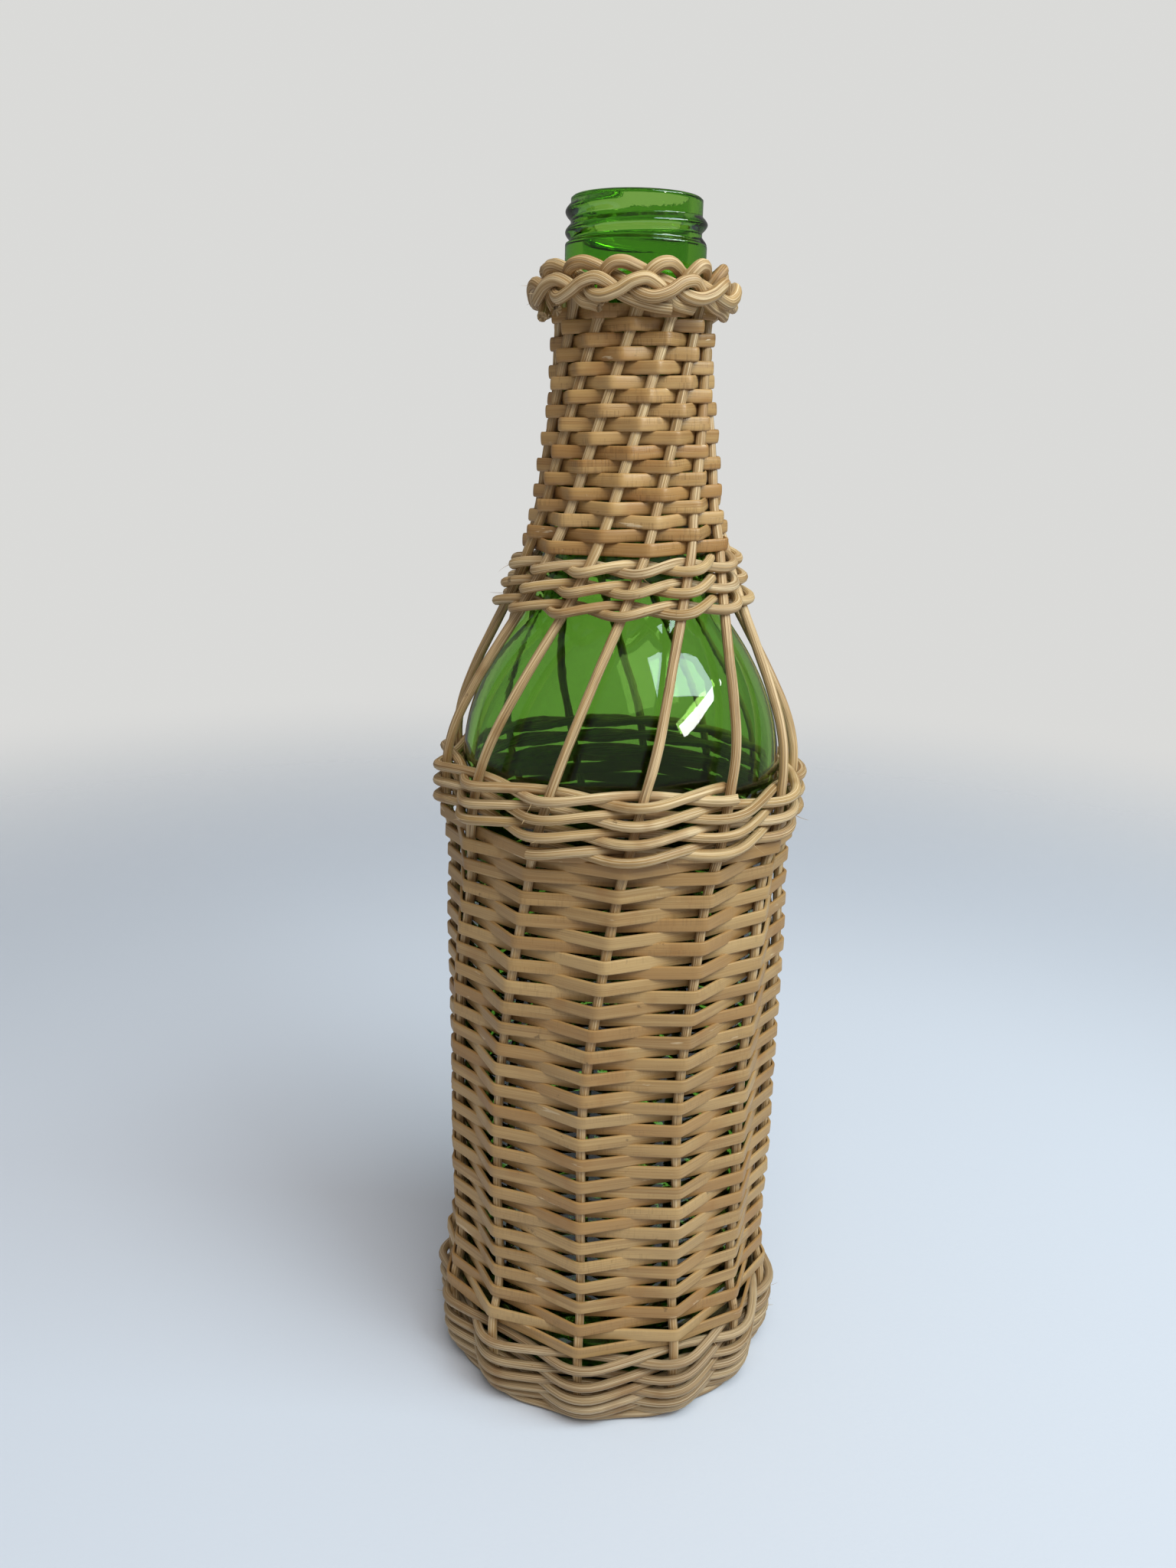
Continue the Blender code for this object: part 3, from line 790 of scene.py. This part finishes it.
# The mat's edge cane lies in a ring that bulges a little at each stake
rim_diameter = 2.1 * mm
rim_height = 1.2 * mm
rim_radius = mat_radius - 2.3 * mm
rim_bulge = 0.45 * mm
rim_samples = 200
rim_turn = np.linspace(0, 2 * math.pi, rim_samples)
rim_radii = rim_radius + rim_bulge * np.cos(rim_turn * stake_count)
rim_path = around(rim_radii, rim_turn + first_azimuth, rim_height)
rim_grid, rim_uv = round_cane(rim_path, rim_diameter, strand_sides, 60)
rim = surface("mat_rim", rim_grid, foot_cane, rim_uv)
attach(rim, "root")


# The body weave
# Flat cane wound up the body, in front of one stake and behind the next. The odd count of stakes makes each
# row the reverse of the one below. It folds a little where it crosses a stake and runs straight in between.

body_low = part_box("body_weaver")[0]
flat_width = 3.15 * mm
flat_thickness = 0.8 * mm
flat_pitch = 2.90 * mm
body_sunk = 1.8 * mm
body_first = 58
body_crossings = 602
body_fold = 0.055
body_uneven = 0.2 * mm
body_colours = ((0.31, 0.175, 0.062, 1), (0.43, 0.262, 0.100, 1), (0.57, 0.385, 0.175, 1))

# Where a flat weaver's samples lie between one stake and the next, close together at its folds
fold_samples = (0, 0.03, 0.07, 0.17, 0.34, 0.5, 0.66, 0.83, 0.93, 0.97)

# The weaver is four lengths of cane. Each ends behind a stake, after so many of them, and the next begins.
# length_shift is how much further along and round in the finish each is read.
body_joins = (0, 148, 297, 446, body_crossings)
length_shift = (5.0, 0.3)


def flat_weave(first_stake, crossings, start, pitch, thickness, fold, uneven, seed):
    """The centre line of a flat cane wound up a zone, over the odd stakes and under the even ones.

    start is the height of its first row and pitch the rise in one turn. fold is the bend at a stake, counted
    in stakes. Its heights differ by up to uneven, and over a stake it stands proud by up to half of that.
    """
    passed = np.arange(-1, crossings + 2)
    side = np.where((first_stake + passed) % 2 == 1, 1, -1)
    chance = np.random.default_rng(seed)
    heights = start + passed * pitch / stake_count + chance.uniform(-uneven, uneven, len(passed))
    reach = stake_diameter / 2 + cane_gap + thickness / 2
    proud = chance.uniform(0, uneven / 2, len(passed))
    corners = stake_place(first_stake + passed, heights, side * (reach + proud * (side > 0)))
    return bent(sampled(crossings, fold_samples), corners, fold)


body_cane = cane_finish(
    "flat_cane", body_colours, grain=0.4, grooves=0.06, rungs=0.45, flakes=0.6, rough=0.42, mixed=0.5)
body_start = body_low.z + flat_width / 2 - body_sunk
body_path = flat_weave(
    body_first, body_crossings, body_start, flat_pitch, flat_thickness, body_fold, body_uneven, seed=100)
for length, (first, last) in enumerate(zip(body_joins, body_joins[1:])):
    stretch = body_path[first * len(fold_samples):last * len(fold_samples) + 1]
    grid, uv = flat_cane(stretch, flat_width, flat_thickness, seed=110 + length * 3)
    shifted = uv + length * np.array(length_shift)
    piece = surface(f"body_flat_cane_{length + 1}", grid, body_cane, shifted)
    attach(piece, "root")
    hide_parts("body_weaver")


# The upper wale
# The same kind of twined pair closes the body at the foot of the shoulder, three turns high. It packs the
# flat rows down and holds the stakes at even distances before they lean.

upper_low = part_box("upper_wale_a")[0]
upper_start = upper_low.z + 1.4 * mm
upper_pitch = 4.25 * mm

# The pair starts 591 stakes on from where the body's cane did
upper_first = body_first + 591
upper_crossings = 41
upper_rows = upper_start + np.arange(-1, upper_crossings + 2) * upper_pitch / stake_count
top_strands, top_paths = twined_pair("top_strand", upper_first, upper_rows, pale_cane, seed=140, shift=0.5)
for side, piece in top_strands.items():
    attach(piece, "root")
    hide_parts(f"upper_wale_{side}")


# The open bands on the shoulder
# One twined pair of round canes wound three times round where the shoulder meets the neck, with glass
# showing between the turns. It gathers the leaning stakes in to the neck.

band_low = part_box("shoulder_twine_a")[0]
band_start = band_low.z + 0.9 * mm
band_pitch = 4.5 * mm
band_first = 5
band_crossings = 40
band_rows = band_start + np.arange(-1, band_crossings + 2) * band_pitch / stake_count
band_strands, band_paths = twined_pair(
    "band_strand", band_first, band_rows, pale_cane, seed=240, shift=0.9)
for side, piece in band_strands.items():
    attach(piece, "root")
    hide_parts(f"shoulder_twine_{side}")


# The neck weave
# One flat cane with its glossy skin left on, wound up the neck over one leaning stake and under the next. Its
# rows lie close, like courses of bricks.

neck_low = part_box("neck_weaver")[0]
neck_width = 3.0 * mm
neck_thickness = 0.85 * mm
neck_pitch = 3.01 * mm
neck_sunk = 1.7 * mm
neck_first = 45
neck_crossings = 235
neck_fold = 0.13
neck_uneven = 0.14 * mm
neck_colours = ((0.32, 0.160, 0.049, 1), (0.455, 0.262, 0.091, 1), (0.64, 0.42, 0.185, 1))

# This cane is rounder than the body's: its section bulges from edge to edge
neck_quarter = ((0.0, 1.0), (0.42, 0.97), (0.74, 0.85), (0.93, 0.57), (1.0, 0.18))
neck_cane = cane_finish(
    "neck_cane", neck_colours, grain=0.35, grooves=0.05, rungs=0.8, flakes=1.0, rough=0.35, mixed=0.45)
neck_start = neck_low.z + neck_width / 2 - neck_sunk
neck_path = flat_weave(
    neck_first, neck_crossings, neck_start, neck_pitch, neck_thickness, neck_fold, neck_uneven, seed=300)
neck_grid, neck_uv = flat_cane(neck_path, neck_width, neck_thickness, seed=310, quarter=neck_quarter)
neck_weave = surface("neck_flat_cane", neck_grid, neck_cane, neck_uv)
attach(neck_weave, "root")
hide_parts("neck_weaver")


# The loose fibres
# Hairs of cane that have split off where a cane was bent or cut. Each grows out of a strand of the border,
# the bands or the wales, curls a little and tapers to a point.

fibre_width = 0.20 * mm
fibre_lengths = (1.2 * mm, 4.5 * mm)
fibre_curl = 0.28
fibre_sides = 4
fibre_rings = 8

# How many hairs the border, the bands, the upper wale and the base wale have
border_hairs = 26
band_hairs = 28
top_hairs = 36
foot_hairs = 36


def fibres(paths, count, seed):
    """Tapered hairs from random places of these centre lines: their grid and UV.

    A hair runs from its root along one direction and bends to one side by the square of the way along. Its
    direction leans out from the bottle, and its radius falls to nothing by the square root of what is left.
    """
    chance = np.random.default_rng(seed)
    paths = np.concatenate(paths)
    root = paths[chance.integers(0, len(paths), count)]
    out = root * (1, 1, 0) / np.linalg.norm(root[:, :2], axis=1)[:, None]
    course = out * chance.uniform(0.5, 1.2, (count, 1)) + chance.normal(0, 0.7, (count, 3))
    course /= np.linalg.norm(course, axis=1, keepdims=True)
    bend = np.cross(course, chance.normal(0, 1, (count, 3)))
    across = bend / np.linalg.norm(bend, axis=1, keepdims=True)
    beyond = np.cross(course, across)
    shortest, longest = fibre_lengths
    length = strand_diameter / 2 + chance.triangular(shortest, shortest, longest, count)
    part = np.linspace(0, 1, fibre_rings)
    curled = bend[:, None] * fibre_curl * part[:, None] ** 2
    line = root[:, None] + (course[:, None] * part[:, None] + curled) * length[:, None, None]
    angle = np.arange(fibre_sides) * 2 * math.pi / fibre_sides
    thick = fibre_width / 2 * chance.uniform(0.5, 1.1, count)[:, None] * np.sqrt(1.0004 - part)
    ring = across[:, None] * np.cos(angle)[:, None] + beyond[:, None] * np.sin(angle)[:, None]
    grid = line[:, :, None] + thick[:, :, None, None] * ring[:, None]
    along = (length[:, None] * part)[:, :, None] + root[:, 2, None, None]
    uv = np.stack(np.broadcast_arrays(along, np.arange(fibre_sides + 1) * 0.1 * mm), axis=-1)
    return grid, uv


tufts = (
    fibres(border_paths, border_hairs, 400), fibres(band_paths, band_hairs, 401),
    fibres(top_paths, top_hairs, 402), fibres(foot_paths, foot_hairs, 403),
)
hair_grid = np.concatenate([grid for grid, _ in tufts])
hair_uv = np.concatenate([uv for _, uv in tufts])
hairs = surface("loose_fibres", hair_grid, pale_cane, hair_uv)
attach(hairs, "root")


# The floor and the background
# A pale, matt floor under the bottle, which fades into an even grey-white background behind it. The
# background is brighter where it is seen straight or through the glass than where it lights the bottle.

floor_radius = 1.8
floor_edge = 5 * mm
floor_gap = 0.2 * mm
floor_flat = 0.3
floor_middle = 0.01
floor_sides = 64
floor_clear = 0.20
floor_gone = 0.85
floor_colour = (0.68, 0.725, 0.81, 1)
floor_relief = 0.03 * mm
background = (0.74, 0.74, 0.725)

# The background's strength on the bottle, what is added where it is seen, and taken off where it is mirrored
background_light = 0.40
background_seen = 0.55
background_mirrored = 0.14


def pale_floor():
    """A pale, matt floor that fades out between floor_clear and floor_gone from its middle."""
    material, start, shader = principled("pale_floor", {"Base Color": floor_colour})
    place = start.node("ShaderNodeTexCoord", {}, {}, "Object")
    grain = start.noise(place, 900.0, 2.0)
    distance = start.node("ShaderNodeVectorMath", {"operation": "LENGTH"}, {0: place}, "Value")
    fade = 1 - distance.between(floor_clear, floor_gone)
    feed(start, shader, {"Roughness": grain * 0.1 + 0.5, "Alpha": fade}, grain, floor_relief)
    return material


floor_radii = np.array((floor_radius, floor_radius, floor_flat, floor_middle))[:, None]
floor_heights = -np.array((floor_edge, floor_gap, floor_gap, floor_gap))[:, None]
floor_turns = np.arange(floor_sides) * 2 * math.pi / floor_sides
floor = surface("floor", around(floor_radii, floor_turns, floor_heights), pale_floor(), sharp=30)

world = bpy.data.worlds.new("studio")
bpy.context.scene.world = world
world.use_nodes = True
backdrop = world.node_tree.nodes["Background"]
backdrop.inputs["Color"].default_value = (*background, 1)
rays = world.node_tree.nodes.new("ShaderNodeLightPath")
seen = Wire(world.node_tree, rays.outputs["Is Camera Ray"])
seen = seen.math("MAXIMUM", seen, Wire(world.node_tree, rays.outputs["Is Transmission Ray"]))
shiny = Wire(world.node_tree, rays.outputs["Is Glossy Ray"])
strength = seen * background_seen + background_light - shiny * background_mirrored
world.node_tree.links.new(strength.socket, backdrop.inputs["Strength"])


# The lamps
# A soft, bluish window at the right in front lights the bottle. A bright strip along the window's lower edge
# shows in reflections and lights nothing matt. A wide lamp above gives light and doesn't show in reflections.

shoulder_height = 0.19
shoulder_place = (0, 0, shoulder_height)

# The window stands upright and is turned to this azimuth
window_azimuth = math.radians(33)

# Places in front of the window: its distance, and how far right and up in shares of that. Then width and
# height in metres, power in watts, and the strip's slant in degrees.
window_at = (0.5, 0.68, 1.07)
window_size = (0.70, 0.36)
window_power = 6.6
window_colour = (0.74, 0.93, 1.0)
strip_at = (1.0, 1.20, 0.80)
strip_size = (2.1, 0.12)
strip_power = 17.0
strip_colour = (1.0, 0.99, 0.96)
strip_slant = 23.5

# Azimuth and elevation in degrees, and distance in metres
overhead_at = (28, 56, 1.5)
overhead_size = (1.2, 1.2)
overhead_power = 19.0
overhead_colour = (1.0, 0.985, 0.96)


def area_lamp(name, place, target, size, power, colour, roll=0.0):
    """A rectangular soft lamp that the camera can't see, facing a target and rolled by some degrees."""
    lamp = bpy.data.lights.new(name, "AREA")
    lamp.shape = "RECTANGLE"
    lamp.size, lamp.size_y = size
    lamp.energy = power
    lamp.color = colour
    made = bpy.data.objects.new(name, lamp)
    made.location = place
    facing = (Vector(target) - Vector(place)).to_track_quat("-Z", "Y")
    made.rotation_euler = (facing @ Quaternion((0, 0, 1), math.radians(roll))).to_euler()
    made.visible_camera = False
    bpy.context.scene.collection.objects.link(made)
    return made


def lamp_place(azimuth, elevation, distance):
    """A place seen from the bottle's shoulder at an azimuth and an elevation in degrees."""
    level = distance * math.cos(math.radians(elevation))
    height = shoulder_height + distance * math.sin(math.radians(elevation))
    return tuple(around(level, math.radians(azimuth), height).tolist())


def window_place(distance, right, up):
    """A place in an upright plane that faces the bottle, and the place at the same height that it faces.

    right and up are shares of the plane's distance, and up starts from the level of the bottle's shoulder.
    """
    inward = np.array((-math.sin(window_azimuth), math.cos(window_azimuth), 0))
    sideways = np.array((math.cos(window_azimuth), math.sin(window_azimuth), 0))
    place = np.array(shoulder_place) + distance * (sideways * right - inward + np.array((0, 0, up)))
    return tuple(place.tolist()), tuple((place + inward).tolist())


area_lamp("window", *window_place(*window_at), window_size, window_power, window_colour)
strip = area_lamp(
    "window_edge", *window_place(*strip_at), strip_size, strip_power, strip_colour, strip_slant)
strip.visible_diffuse = False
overhead = area_lamp(
    "overhead", lamp_place(*overhead_at), shoulder_place, overhead_size, overhead_power, overhead_colour)
overhead.visible_glossy = False


# The camera
# Held close in front of the bottle, a little above its shoulder, and tilted down to take in the foot. Its
# place and turn were fitted to the rim, the rows of the weave and the foot in the photograph.

camera_distance = 0.3101
camera_height = 0.2491
camera_pitch = math.radians(16.351)
camera_roll = math.radians(1.355)
camera_yaw = math.radians(-1.462)
camera_lens = 29.214
camera_sensor = 36.0
camera_near = 0.01

camera = bpy.data.objects.new("camera", bpy.data.cameras.new("camera"))
camera.data.lens = camera_lens
camera.data.sensor_width = camera_sensor
camera.data.clip_start = camera_near
heading = np.array((math.sin(camera_yaw), math.cos(camera_yaw), 0))
forward = heading * math.cos(camera_pitch) - (0, 0, math.sin(camera_pitch))
level = np.array((math.cos(camera_yaw), -math.sin(camera_yaw), 0))
upward = np.cross(level, forward)
right = level * math.cos(camera_roll) + upward * math.sin(camera_roll)
top = upward * math.cos(camera_roll) - level * math.sin(camera_roll)
camera.matrix_world = Matrix((right, top, -forward)).transposed().to_4x4()
camera.location = (0, -camera_distance, camera_height)
bpy.context.scene.collection.objects.link(camera)
bpy.context.scene.camera = camera
bpy.context.scene.view_settings.view_transform = "Standard"
